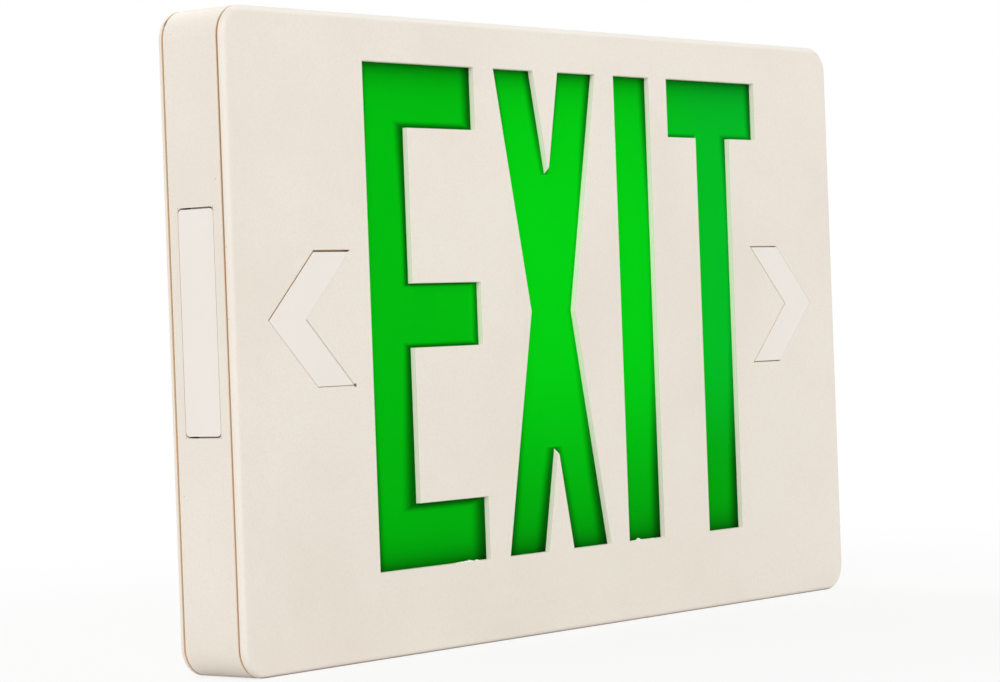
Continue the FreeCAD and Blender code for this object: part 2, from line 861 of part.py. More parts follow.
def battery_clips():
    """Flat straps bent to a U, which stand on the bottom wall and turn in over the pack."""
    inner = battery_radius + clip_clearance
    outer = inner + clip_thickness
    top = battery_z + battery_radius * clip_grip
    lip = battery_radius * math.sqrt(1 - clip_grip ** 2) + clip_clearance
    clips = []
    for place in (battery_left + clip_inset, battery_right - clip_inset):
        x = around(place, clip_width)
        bends = [box(x, around(middle_y, 2 * outer), (inner_bottom, inner_bottom + clip_thickness))]
        for side in (-1, 1):
            leg_y = sorted((middle_y + side * inner, middle_y + side * outer))
            lip_y = sorted((middle_y + side * lip, middle_y + side * outer))
            bends += [box(x, leg_y, (inner_bottom, top)), box(x, lip_y, (top, top + clip_thickness))]
        clips.append(joined(bends))
    return Part.makeCompound(clips)


def battery_lead():
    """Two flat conductors from the end of the pack straight to its connector."""
    x = (battery_right, battery_connector_x - connector_length / 2)
    z = around(driver_top + connector_height / 2, wire_width)
    return Part.makeCompound([box(x, around(middle_y + side * wire_pitch, wire_width), z)
                              for side in (-0.5, 0.5)])


def led_lead():
    """A flat lead up the side wall to the upper LED board, and one straight up to the lower board."""
    side_z = driver_top + led_connector_height / 2
    board_z = upper_board_z + led_board_thickness / 2
    long_lead = bent_strip([vector(led_connector_x + connector_length / 2, led_lead_y, side_z),
                            vector(led_lead_x, led_lead_y, side_z),
                            vector(led_lead_x, led_lead_y, board_z),
                            vector(led_board_length / 2, led_lead_y, board_z)],
                           led_lead_width, led_lead_thickness, led_lead_bend)
    short_lead = box(around(led_connector_x, led_lead_thickness), around(middle_y, led_lead_width),
                     (driver_top + led_connector_height, lower_board_z))
    return Part.makeCompound([long_lead, short_lead])


# Test button, switch and indicator

def test_button():
    """A cap with a retaining flange above the collar."""
    x = button_x
    low = -half_height + button_recess
    cap = rod_z(x, middle_y, button_radius, (low, flange_high))
    cap = cap.makeChamfer(button_edge_chamfer, edges_in_plane(cap, 2, low)[:1])
    flange = rod_z(x, middle_y, button_radius + flange_overhang, (flange_low, flange_high))
    return joined([cap, flange])


def test_switch():
    """The switch body under the driver board, with a bore for its plunger."""
    x = button_x
    body = box(around(x, switch_size), around(middle_y, switch_size), (switch_low, driver_z))
    bore = plunger_width + 2 * plunger_clearance
    return body.cut(box(around(x, bore), around(middle_y, bore), (switch_low, driver_z)))


def switch_plunger():
    x = button_x
    return box(around(x, plunger_width), around(middle_y, plunger_width),
               (flange_high, switch_low + plunger_engagement))


def status_indicator():
    """A light pipe from the driver board down into the bottom wall."""
    return rod_z(indicator_x, middle_y, indicator_radius, (-half_height + indicator_recess, driver_z))


sub_parts = [
    front_faceplate, green_lens, left_chevron_insert, right_chevron_insert, housing_frame,
    left_side_cover, right_side_cover, top_cover, back_plate, light_baffle,
    upper_led_board, lower_led_board, upper_leds, lower_leds, led_lead, led_connector,
    driver_board, board_screws, transformer, filter_capacitors, resistors, diodes, power_transistor,
    supply_terminal_block, battery_connector, battery_pack, battery_clips, battery_lead,
    test_button, switch_plunger, test_switch, status_indicator,
]

os.makedirs("parts", exist_ok=True)
for sub_part in sub_parts:
    shape = sub_part()
    shape.exportStep("parts/" + sub_part.__name__ + ".step")
    print(sub_part.__name__, len(shape.Solids), "solid(s)", round(shape.Volume / 1000, 2), "cm3")
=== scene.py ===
import json
import math
import random
import bmesh
import bpy
from mathutils import Euler, Matrix, Vector


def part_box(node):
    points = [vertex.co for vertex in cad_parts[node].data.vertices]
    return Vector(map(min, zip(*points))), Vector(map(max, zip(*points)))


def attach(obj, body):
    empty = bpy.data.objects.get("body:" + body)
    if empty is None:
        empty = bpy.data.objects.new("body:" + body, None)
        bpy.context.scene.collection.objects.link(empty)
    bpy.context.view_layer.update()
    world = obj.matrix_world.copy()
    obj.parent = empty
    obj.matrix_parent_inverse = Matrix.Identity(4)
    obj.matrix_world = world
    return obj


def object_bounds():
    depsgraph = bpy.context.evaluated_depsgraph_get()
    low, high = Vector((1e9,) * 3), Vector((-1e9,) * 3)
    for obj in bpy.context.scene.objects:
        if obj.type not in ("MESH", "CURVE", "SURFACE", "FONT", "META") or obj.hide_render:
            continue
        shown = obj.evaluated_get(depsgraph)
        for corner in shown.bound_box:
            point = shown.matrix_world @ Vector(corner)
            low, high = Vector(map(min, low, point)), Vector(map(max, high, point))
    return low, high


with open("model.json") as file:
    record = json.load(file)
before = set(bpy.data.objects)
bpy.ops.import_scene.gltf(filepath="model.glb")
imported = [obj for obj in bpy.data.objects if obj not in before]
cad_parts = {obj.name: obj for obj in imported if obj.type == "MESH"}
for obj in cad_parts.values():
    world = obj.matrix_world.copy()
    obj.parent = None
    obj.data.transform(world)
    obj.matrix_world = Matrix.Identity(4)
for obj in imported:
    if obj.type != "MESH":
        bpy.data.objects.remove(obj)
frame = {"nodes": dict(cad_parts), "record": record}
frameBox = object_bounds()
lowCorner, highCorner = frameBox
scene = bpy.context.scene
print("frame loaded:", len(frame["nodes"]), "nodes")

# camera, a long lens a little in front of the left-hand end
cameraSettings = {
    "place": (-0.81458, -0.65991, 0.00299),
    "turn": (89.663, 2.111, -50.887),
    "lens": 116.09,
    "sensor": 36.0,
    "nearest": 0.01,
    "farthest": 50,
}


def addCamera(settings):
    data = bpy.data.cameras.new("camera")
    data.lens = settings["lens"]
    data.sensor_width = settings["sensor"]
    data.clip_start = settings["nearest"]
    data.clip_end = settings["farthest"]
    camera = bpy.data.objects.new("camera", data)
    camera.location = settings["place"]
    camera.rotation_euler = Euler([math.radians(angle) for angle in settings["turn"]])
    scene.collection.objects.link(camera)
    scene.camera = camera


addCamera(cameraSettings)
scene.view_settings.view_transform = "Standard"
print("camera placed")


# shader maths as plain expressions: a Socket is one output of a node
class Socket:
    def __init__(self, tree, plug=None):
        self.tree = tree
        self.plug = plug

    def node(self, kind, settings=None, values=None, output=0):
        made = self.tree.nodes.new("ShaderNode" + kind)
        for name, value in (settings or {}).items():
            setattr(made, name, value)
        for name, value in (values or {}).items():
            if isinstance(value, Socket):
                self.tree.links.new(value.plug, made.inputs[name])
            else:
                made.inputs[name].default_value = value
        return Socket(self.tree, made.outputs[output])

    def maths(self, operation, first, second=0.0):
        return self.node("Math", {"operation": operation}, {0: first, 1: second})

    def __add__(self, other):
        return self.maths("ADD", self, other)

    def __radd__(self, other):
        return self.maths("ADD", other, self)

    def __sub__(self, other):
        return self.maths("SUBTRACT", self, other)

    def __rsub__(self, other):
        return self.maths("SUBTRACT", other, self)

    def __mul__(self, other):
        return self.maths("MULTIPLY", self, other)

    def __rmul__(self, other):
        return self.maths("MULTIPLY", other, self)

    def __truediv__(self, other):
        return self.maths("DIVIDE", self, other)

    def __rtruediv__(self, other):
        return self.maths("DIVIDE", other, self)

    def bigger(self, other):
        return self.maths("MAXIMUM", self, other)

    def smaller(self, other):
        return self.maths("MINIMUM", self, other)

    def size(self):
        return self.maths("ABSOLUTE", self)

    def wave(self):
        return self.maths("SINE", self)

    def fold(self, length):
        # rises to length and falls back to 0, over and over
        return self.maths("PINGPONG", self, length)

    def fade(self, length):
        # 1 at 0, and about a third of it for each length further
        return self.maths("POWER", math.exp(-1), self / length)

    def step(self, start, end):
        # 0 before start, 1 after end, smooth between
        return self.node("MapRange", {"interpolation_type": "SMOOTHSTEP"},
                         {"Value": self, "From Min": start, "From Max": end})

    def band(self, centre, half, soft):
        # 1 within half of the centre, 0 past the soft edge
        return 1 - (self - centre).size().step(half, half + soft)

    def blend(self, under, over):
        # mixes two colours, with this socket as the mask
        return self.node("Mix", {"data_type": "RGBA"}, {0: self, 6: under, 7: over}, 2)


def rgba(red, green, blue):
    # a colour written as 0 to 255 on screen, as the linear values that a shader takes
    def linear(value):
        value /= 255
        return value / 12.92 if value <= 0.04045 else ((value + 0.055) / 1.055) ** 2.4
    return (linear(red), linear(green), linear(blue), 1)


class Finish:
    # one material with its main shader and the places that patterns read
    def __init__(self, name, colour, roughness, specular=0.5, metallic=0.0):
        self.material = bpy.data.materials.new(name)
        self.material.use_nodes = True
        self.tree = self.material.node_tree
        self.shader = self.tree.nodes["Principled BSDF"]
        self.pen = Socket(self.tree)
        self.place = self.pen.node("TexCoord", output="Object")
        self.set("Base Color", colour)
        self.set("Roughness", roughness)
        self.set("Specular IOR Level", specular)
        self.set("Metallic", metallic)

    def set(self, name, value):
        if isinstance(value, Socket):
            self.tree.links.new(value.plug, self.shader.inputs[name])
        else:
            self.shader.inputs[name].default_value = value

    def axis(self, letter):
        # X runs across the sign, Y along its depth and Z up
        return self.pen.node("SeparateXYZ", values={0: self.place}, output=letter)

    def noise(self, scale, detail, rough, stretch=None):
        where = self.place
        if stretch:
            where = self.pen.node("Mapping", values={"Vector": self.place, "Scale": stretch})
        return self.pen.node("TexNoise", values={"Vector": where, "Scale": scale,
                                                 "Detail": detail, "Roughness": rough})

    def specks(self, scale, share, size):
        # small round marks in a share of the cells, size as a part of a cell
        cells = {"Vector": self.place, "Scale": scale}
        near = self.pen.node("TexVoronoi", values=cells, output="Distance")
        tint = self.pen.node("TexVoronoi", values=cells, output="Color")
        pick = self.pen.node("SeparateXYZ", values={0: tint})
        soft = 0.01
        return (1 - near.step(size / 2, size)) * (1 - pick.step(share, share + soft))

    def bump(self, height, strength, distance):
        self.set("Normal", self.pen.node("Bump", values={"Height": height, "Strength": strength,
                                                         "Distance": distance}))


# the letters cut in the faceplate
legend = {
    "low": -0.0703,
    "high": 0.0821,
    "stroke": 0.01945,
    "left": -0.095,
    "eWidth": 0.0518,
    "xWidth": 0.0522,
    "tWidth": 0.0512,
    "gap": 0.0098,
    "arm": 0.0197,
    "waist": 0.0223,
    "middle": 0.0059,
    # how much faster the shade ends at these edges than at the right-hand ones
    "lowerEase": 2.2,
    "upperEase": 2.6,
    "leftEase": 1.6,
    "crotchEase": 16.0,
}


def insideSides(across, left, right):
    # how deep a point lies between two upright edges, with less shade at the left one
    return ((across - left) * legend["leftEase"]).smaller(right - across)


def insideBox(across, up, left, right, low, high):
    side = insideSides(across, left, right)
    return side.smaller((high - up) * legend["upperEase"]).smaller((up - low) * legend["lowerEase"])


def insideCross(across, up, left):
    # the X: two pairs of slanted edges, and the two notches between its arms
    lean = (legend["xWidth"] - legend["waist"]) / (legend["high"] - legend["low"])
    notch = legend["arm"] - legend["waist"] / 2
    beside = (across - left - legend["xWidth"] / 2).size()
    away = (up - legend["middle"]).size()
    outer = away * lean + legend["waist"] / 2 - beside
    inner = (beside - away * lean + notch).bigger((notch / lean - away) * legend["crotchEase"])
    return outer.smaller(inner)


def insideLetters(across, up):
    # how deep a point lies between the sides of the nearest letter, whose two ends stay open
    low, high, stroke = legend["low"], legend["high"], legend["stroke"]
    middle = legend["middle"]
    left = legend["left"]
    depth = insideSides(across, left, left + stroke)
    bars = ((-1, low + stroke), (middle - stroke / 2, middle + stroke / 2), (high - stroke, 1))
    for barLow, barHigh in bars:
        depth = depth.bigger(insideBox(across, up, left, left + legend["eWidth"], barLow, barHigh))
    left += legend["eWidth"] + legend["gap"]
    depth = depth.bigger(insideCross(across, up, left))
    left += legend["xWidth"] + legend["gap"]
    depth = depth.bigger(insideSides(across, left, left + stroke))
    left += stroke + legend["gap"]
    depth = depth.bigger(insideBox(across, up, left, left + legend["tWidth"], high - stroke, 1))
    stem = left + (legend["tWidth"] - stroke) / 2
    return depth.bigger(insideSides(across, stem, stem + stroke))


# zones of the faceplate, each as where its soft edge starts and ends
faceZones = {
    "flatAcross": (0.148, 0.1485),
    "flatUp": (0.09, 0.0905),
    "chevronAcross": (0.098, 0.0985),
    # from the middle of the letters
    "chevronUp": (0.0215, 0.022),
    "halves": (0, 0.01),
}


def inFace(across, up):
    # 1 over the flat of the faceplate, 0 in the outer walls
    beside = across.size().step(*faceZones["flatAcross"])
    return (1 - beside) * (1 - up.size().step(*faceZones["flatUp"]))


def nearChevrons(across, up):
    # 1 round the two chevrons, 0 round the letters
    beside = across.size().step(*faceZones["chevronAcross"])
    return beside * (1 - (up - legend["middle"]).size().step(*faceZones["chevronUp"]))


def leftToRight(across, left, right):
    # one colour on the left half of the sign and another on the right half
    return across.step(*faceZones["halves"]).blend(left, right)


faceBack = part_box("green_lens")[0].y
ringFront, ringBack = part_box("housing_frame")[0].y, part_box("housing_frame")[1].y

# painted shade in the seams in front of and behind the ring, tan, darker along the upper part of the front
# seam
seamLook = {
    "front": rgba(222, 188, 154),
    "upperFront": rgba(204, 172, 134),
    "upperZone": (-0.03, 0.06),
    "frontReach": 0.00008,
    "frontSoft": 0.00012,
    "back": rgba(236, 206, 166),
    "backWidth": 0.0004,
    "backReach": 0.00005,
    "backSoft": 0.0001,
    "shade": 0.9,
    "darkPatch": rgba(150, 132, 112),
    "darkPatchHeight": 0.0925,
    "darkPatchHalf": 0.0005,
    "darkPatchSoft": 0.0008,
    "darkPatchAcross": (-0.1495, -0.149),
    "darkPatchShade": 0.7,
}


def paintSeams(colour, axes, look):
    across, along, up = axes
    reach = (ringFront - faceBack) / 2 + look["frontReach"]
    front = along.band((faceBack + ringFront) / 2, reach, look["frontSoft"])
    backMiddle = ringBack + look["backWidth"] / 2
    back = along.band(backMiddle, look["backWidth"] / 2 + look["backReach"], look["backSoft"])
    tone = up.step(*look["upperZone"]).blend(look["front"], look["upperFront"])
    colour = (front * look["shade"]).blend(colour, tone)
    colour = (back * look["shade"]).blend(colour, look["back"])
    # a darker patch at the upper left corner of the back seam
    darkPatch = back * up.band(look["darkPatchHeight"], look["darkPatchHalf"], look["darkPatchSoft"])
    darkPatch = darkPatch * (1 - across.step(*look["darkPatchAcross"]))
    return (darkPatch * look["darkPatchShade"]).blend(colour, look["darkPatch"])


# fine dark outline where the blank covers meet the ring
coverLook = {
    "outline": rgba(206, 172, 146),
    "half": 0.0333,
    "width": 0.00012,
    "depth": 0.0008,
    "soft": 0.0002,
    "shade": 0.85,
}


def paintCoverOutlines(colour, axes, look):
    across, along, up = axes
    low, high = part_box("left_side_cover")
    width, depth, soft = look["width"], look["depth"], look["soft"]
    rims = along.band(low.y, width, width).bigger(along.band(high.y, width, width))
    onEnds = across.size().step(highCorner.x - depth - soft, highCorner.x - depth)
    onTop = up.step(highCorner.z - depth - soft, highCorner.z - depth)
    beside = onEnds * up.band((low.z + high.z) / 2, look["half"] - soft, soft)
    above = onTop * across.band(0, look["half"] - soft, soft)
    return (rims * beside.bigger(above) * look["shade"]).blend(colour, look["outline"])


# painted highlight on the rounded edge, painted shade along the foot, and one dirt mark
edgeLook = {
    "paintedHighlight": rgba(247, 243, 236),
    "rimZone": (0.001, 0.0022),
    "rimShade": 0.6,
    "leftShare": 0.25,
    "frontSoft": 0.0004,
    "foot": rgba(124, 96, 86),
    "footZone": (0.0002, 0.0007),
    "footDepth": (0.0012, 0.0016),
    "footShade": 0.8,
    "dirt": rgba(58, 44, 36),
    "dirtPlace": (-0.10335, -0.01405),
    "dirtZone": (0.0002, 0.0007),
    "dirtShade": 0.9,
}


def paintEdges(colour, axes, look):
    across, along, up = axes
    inFront = 1 - along.step(faceBack - look["frontSoft"], faceBack)
    near, far = look["rimZone"]
    # painted highlight along the top edge, fainter along the left edge
    paintedHighlight = up.step(highCorner.z - far, highCorner.z - near)
    paintedHighlight = paintedHighlight.bigger((1 - across.step(lowCorner.x + near, lowCorner.x + far)) * look["leftShare"])
    colour = (paintedHighlight * inFront * look["rimShade"]).blend(colour, look["paintedHighlight"])
    # painted shade along the lower front edge
    foot = 1 - up.step(*[lowCorner.z + height for height in look["footZone"]])
    foot = foot * (1 - along.step(*[lowCorner.y + depth for depth in look["footDepth"]]))
    colour = (foot * look["footShade"]).blend(colour, look["foot"])
    # at the lower right corner of the left chevron
    dirt = (across - look["dirtPlace"][0]).size().bigger((up - look["dirtPlace"][1]).size())
    dirt = (1 - dirt.step(*look["dirtZone"])) * inFront
    return (dirt * look["dirtShade"]).blend(colour, look["dirt"])


# the cut sides of the openings, with painted light that the lens and the inserts throw back: near white
# round the letters, pale round the right chevron and tan painted shade round the left one
wallLook = {
    "letters": rgba(255, 249, 234),
    "leftChevron": rgba(222, 190, 150),
    "rightChevron": rgba(255, 244, 206),
    "start": (0.00022, 0.0005),
    "end": (0.00002, 0.00006),
}


def paintOpenings(colour, axes, look):
    across, along, up = axes
    sides = along.step(*[lowCorner.y + depth for depth in look["start"]]) * inFace(across, up)
    sides = sides * (1 - along.step(*[faceBack + depth for depth in look["end"]]))
    chevronWall = leftToRight(across, look["leftChevron"], look["rightChevron"])
    wall = nearChevrons(across, up).blend(look["letters"], chevronWall)
    return sides.blend(colour, wall)


# moulded ivory plastic of the faceplate, ring and back plate
housingLook = {
    "colour": rgba(237, 230, 219),
    "warm": rgba(228, 216, 203),
    "mottleScale": 16,
    "mottleRange": (0.35, 0.75),
    "mottleDepth": 0.45,
    "grainScale": 1500,
    "grainRange": (0.42, 0.7),
    "grainDepth": 0.4,
    "speck": rgba(150, 132, 112),
    "speckScale": 110,
    "speckShare": 0.018,
    "speckSize": 0.04,
    "speckDepth": 0.4,
    "specular": 0.28,
    "roughness": 0.52,
    "roughnessSpread": 0.16,
    "bumpStrength": 0.16,
    "bumpDepth": 0.00012,
}


def housingFinish(name, look):
    finish = Finish(name, look["colour"], look["roughness"], specular=look["specular"])
    grain = finish.noise(look["grainScale"], 3, 0.6)
    mottle = finish.noise(look["mottleScale"], 4, 0.55)
    colour = (mottle.step(*look["mottleRange"]) * look["mottleDepth"]).blend(look["colour"], look["warm"])
    colour = (grain.step(*look["grainRange"]) * look["grainDepth"]).blend(colour, look["warm"])
    spots = finish.specks(look["speckScale"], look["speckShare"], look["speckSize"])
    colour = (spots * look["speckDepth"]).blend(colour, look["speck"])
    axes = [finish.axis(letter) for letter in "XYZ"]
    colour = paintSeams(colour, axes, seamLook)
    colour = paintCoverOutlines(colour, axes, coverLook)
    colour = paintEdges(colour, axes, edgeLook)
    colour = paintOpenings(colour, axes, wallLook)
    finish.set("Base Color", colour)
    spread = look["roughnessSpread"]
    finish.set("Roughness", grain * spread + look["roughness"] - spread / 2)
    finish.bump(grain, look["bumpStrength"], look["bumpDepth"])
    return finish.material


# smoother mouldings, with what they share and what each has of its own
mouldLook = {
    "flowStretch": (1, 1, 0.35),
    "flowRange": (0.4, 0.7),
    "flowDepth": 0.4,
    "speckDepth": 0.7,
    "specular": 0.4,
    "grainScale": 3000,
    "mottleScale": 60,
    "roughnessSpread": 0.12,
    "bumpStrength": 0.12,
    "bumpDepth": 0.00004,
    "sideZone": (0.00004, 0.0002),
}

insertLook = dict(
    mouldLook,
    colour=rgba(237, 231, 224),
    warm=rgba(233, 226, 217),
    speck=rgba(165, 150, 135),
    grainScale=3800,
    mottleScale=30,
    speckScale=150,
    speckShare=0.02,
    speckSize=0.04,
    specular=0.35,
    roughness=0.42,
    # the sides of the inserts in their gaps: tan painted shade on the left chevron, pale painted light on
    # the right one
    leftSides=rgba(226, 190, 152),
    rightSides=rgba(255, 244, 206),
)


def plainLook(colour, warm, roughness, specular=mouldLook["specular"]):
    return dict(mouldLook, colour=rgba(*colour), warm=rgba(*warm), roughness=roughness, specular=specular)


def plainMould(name, look):
    # a faint flow, and few specks or none
    finish = Finish(name, look["colour"], look["roughness"], specular=look["specular"])
    flow = finish.noise(look["mottleScale"], 3, 0.5, look["flowStretch"])
    grain = finish.noise(look["grainScale"], 2, 0.5)
    colour = (flow.step(*look["flowRange"]) * look["flowDepth"]).blend(look["colour"], look["warm"])
    if "speck" in look:
        spots = finish.specks(look["speckScale"], look["speckShare"], look["speckSize"])
        colour = (spots * look["speckDepth"]).blend(colour, look["speck"])
    # painted light and shade on the sides of the inserts
    if "leftSides" in look:
        across, along, up = [finish.axis(letter) for letter in "XYZ"]
        inside = along.step(*[lowCorner.y + depth for depth in look["sideZone"]])
        sides = leftToRight(across, look["leftSides"], look["rightSides"])
        colour = (inside * inFace(across, up)).blend(colour, sides)
    finish.set("Base Color", colour)
    spread = look["roughnessSpread"]
    finish.set("Roughness", flow * spread + look["roughness"] - spread / 2)
    finish.bump(grain, look["bumpStrength"], look["bumpDepth"])
    return finish.material


# green lens sheet, seen through the letters, with painted light and shade across it and painted shade
# close to the edge of each opening
lensLook = {
    "bright": rgba(0, 212, 18),
    "shadedGreen": rgba(0, 168, 10),
    "teal": rgba(0, 190, 48),
    "shadow": rgba(0, 22, 2),
    "behindLeft": rgba(214, 190, 138),
    "behindRight": rgba(250, 240, 200),
    "roughness": 0.42,
    "specular": 0.006,
    "roughnessSpread": 0.1,
    "cloudScale": 14,
    "cloudDepth": 0.3,
    "grainScale": 900,
    "bumpStrength": 0.05,
    "bumpDepth": 0.00005,
    # where each part of the sheet starts and ends, up it or across it
    "lowZone": (-0.075, 0.0),
    "footZone": (-0.075, 0.02),
    "tealZone": (-0.06, -0.01),
    "highZone": (0.02, 0.08),
    "headZone": (0.03, 0.075),
    "leftZone": (-0.05, -0.034),
    "rightZone": (0.03, 0.1),
    # how far the painted shade turns the green deep in each part, and how much less of that the left end
    # has
    "highShade": 0.25,
    "leftShade": 0.62,
    "rightShade": 0.5,
    "leftLowEase": 0.8,
    "leftHighEase": 0.35,
    "tealShare": 0.6,
    # how far the painted shade reaches from the sides of a letter, and how dark it is
    "sideReach": 0.0046,
    "sideStart": 0.0006,
    "footReach": 1.05,
    "headReach": 0.55,
    "leftReach": 0.3,
    "middleReach": 0.4,
    "sideShade": 0.74,
    "headDepth": 0.6,
    "leftDepth": 0.8,
    "middleDepth": 0.3,
    "endFade": 0.0042,
    "endShade": 0.74,
}


def lensFinish(name, look):
    finish = Finish(name, look["bright"], look["roughness"], specular=look["specular"])
    across, up = finish.axis("X"), finish.axis("Z")
    cloud = finish.noise(look["cloudScale"], 3, 0.5)
    low = 1 - up.step(*look["lowZone"])
    high = up.step(*look["highZone"])
    left = 1 - across.step(*look["leftZone"])
    right = across.step(*look["rightZone"])
    shade = low * (1 - left * look["leftLowEase"])
    shade = shade + high * (look["highShade"] - left * look["leftHighEase"])
    shade = shade + left * look["leftShade"] + right * look["rightShade"]
    shade = shade + (cloud - 0.5) * look["cloudDepth"]
    colour = shade.bigger(0).smaller(1).blend(look["bright"], look["shadedGreen"])
    colour = (right * up.step(*look["tealZone"]) * look["tealShare"]).blend(colour, look["teal"])
    # the painted shade along the sides is widest at the foot of the letters and narrowest near the middle
    foot = 1 - up.step(*look["footZone"])
    head = up.step(*look["headZone"])
    reach = foot * look["footReach"] + head * look["headReach"]
    reach = reach + left * look["leftReach"] + look["middleReach"]
    sides = 1 - (insideLetters(across, up) / reach).step(look["sideStart"], look["sideReach"])
    depth = low + head * look["headDepth"] + left * look["leftDepth"] + look["middleDepth"]
    sides = sides * depth.smaller(1)
    # painted shade also deepens toward the top and bottom ends of the letters
    toEnd = (up - legend["low"]).smaller(legend["high"] - up).bigger(0)
    ends = toEnd.fade(look["endFade"])
    lit = (1 - sides * look["sideShade"]) * (1 - ends * look["endShade"])
    colour = (1 - lit).blend(colour, look["shadow"])
    # behind the chevrons the sheet is not green: tan on the left and cream on the right, painted shade and
    # light seen through the gaps
    behind = leftToRight(across, look["behindLeft"], look["behindRight"])
    colour = nearChevrons(across, up).blend(colour, behind)
    finish.set("Base Color", colour)
    spread = look["roughnessSpread"]
    finish.set("Roughness", cloud * spread + look["roughness"] - spread / 2)
    finish.bump(finish.noise(look["grainScale"], 2, 0.5), look["bumpStrength"], look["bumpDepth"])
    return finish.material


# brushed metal with duller patches
metalLook = {
    "brushScale": 900,
    "dullScale": 140,
    "dullRange": (0.45, 0.8),
    "dullShare": 0.8,
    "dullDepth": 0.5,
    "roughnessSpread": 0.25,
    "roughnessDrop": 0.1,
    "bumpStrength": 0.12,
    "bumpDepth": 0.00005,
}


def plateFinish(name, look, colour, roughness, stretch):
    finish = Finish(name, rgba(*colour), roughness, metallic=1.0)
    brushed = finish.noise(look["brushScale"], 3, 0.6, stretch)
    dull = finish.noise(look["dullScale"], 3, 0.5)
    darker = rgba(*[value * look["dullShare"] for value in colour])
    patches = dull.step(*look["dullRange"]) * look["dullDepth"]
    finish.set("Base Color", patches.blend(rgba(*colour), darker))
    finish.set("Roughness", brushed * look["roughnessSpread"] + roughness - look["roughnessDrop"])
    finish.bump(brushed, look["bumpStrength"], look["bumpDepth"])
    return finish.material


# green board with copper lanes that sway and break off
boardLook = {
    "mask": rgba(28, 98, 52),
    "trace": rgba(44, 124, 70),
    "pitch": 0.0034,
    "width": 0.0009,
    "soft": 0.0001,
    "swayScale": 90,
    "sway": 0.004,
    "breakScale": 160,
    "breakRange": (0.42, 0.46),
    "roughness": 0.3,
    "weave": 0.002,
    "weaveRoughness": 20,
    "bumpStrength": 0.3,
    "bumpDepth": 0.00004,
}


def laminateFinish(name, look):
    finish = Finish(name, look["mask"], look["roughness"])
    sway = finish.noise(look["swayScale"], 0, 0.5) * look["sway"]
    lanes = (finish.axis("Y") + sway).fold(look["pitch"] / 2)
    runs = lanes.band(look["pitch"] / 4, look["width"] / 2, look["soft"])
    copper = runs * finish.noise(look["breakScale"], 0, 0.5).step(*look["breakRange"])
    finish.set("Base Color", copper.blend(look["mask"], look["trace"]))
    weave = finish.axis("X").fold(look["weave"])
    finish.set("Roughness", weave * look["weaveRoughness"] + look["roughness"])
    finish.bump(copper, look["bumpStrength"], look["bumpDepth"])
    return finish.material


# laminated core down the middle, taped winding on both sides
windingLook = {
    "tape": rgba(196, 160, 64),
    "paleTape": rgba(214, 182, 90),
    "gap": rgba(52, 50, 50),
    "sheet": rgba(84, 80, 78),
    "roughness": 0.4,
    "coreHalf": 0.00226,
    "coreSoft": 0.00002,
    # radians per metre, so a sheet and its gap take 0.7 mm
    "sheetWave": 9000,
    "tapeScale": 120,
    "tapeStretch": (0.2, 1, 1),
    "tapeDepth": 0.3,
    "bumpStrength": 0.25,
    "bumpDepth": 0.0001,
}


def windingFinish(name, look):
    finish = Finish(name, look["tape"], look["roughness"])
    along = finish.axis("Y")
    low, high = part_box("transformer")
    core = along.band((low.y + high.y) / 2, look["coreHalf"], look["coreSoft"])
    sheets = (along * look["sheetWave"]).wave()
    tape = finish.noise(look["tapeScale"], 2, 0.5, look["tapeStretch"])
    wound = tape.blend(look["tape"], look["paleTape"])
    stack = (sheets * 0.5 + 0.5).blend(look["gap"], look["sheet"])
    finish.set("Base Color", core.blend(wound, stack))
    finish.bump(core * sheets + tape * look["tapeDepth"], look["bumpStrength"], look["bumpDepth"])
    return finish.material


# shrink sleeve with fine creases, darker in them as painted shade
sleeveLook = {
    "creaseScale": 420,
    "creaseStretch": (0.25, 1, 1),
    "creaseRange": (0.4, 0.75),
    "creaseDepth": 0.5,
    "roughness": 0.2,
    "roughnessSpread": 0.2,
    "bumpStrength": 0.2,
    "bumpDepth": 0.0001,
}


def sleeveFinish(name, look, colour, creaseShade):
    finish = Finish(name, rgba(*colour), look["roughness"])
    creases = finish.noise(look["creaseScale"], 3, 0.6, look["creaseStretch"])
    folds = creases.step(*look["creaseRange"]) * look["creaseDepth"]
    finish.set("Base Color", folds.blend(rgba(*colour), rgba(*creaseShade)))
    finish.set("Roughness", creases * look["roughnessSpread"] + look["roughness"])
    finish.bump(creases, look["bumpStrength"], look["bumpDepth"])
    return finish.material


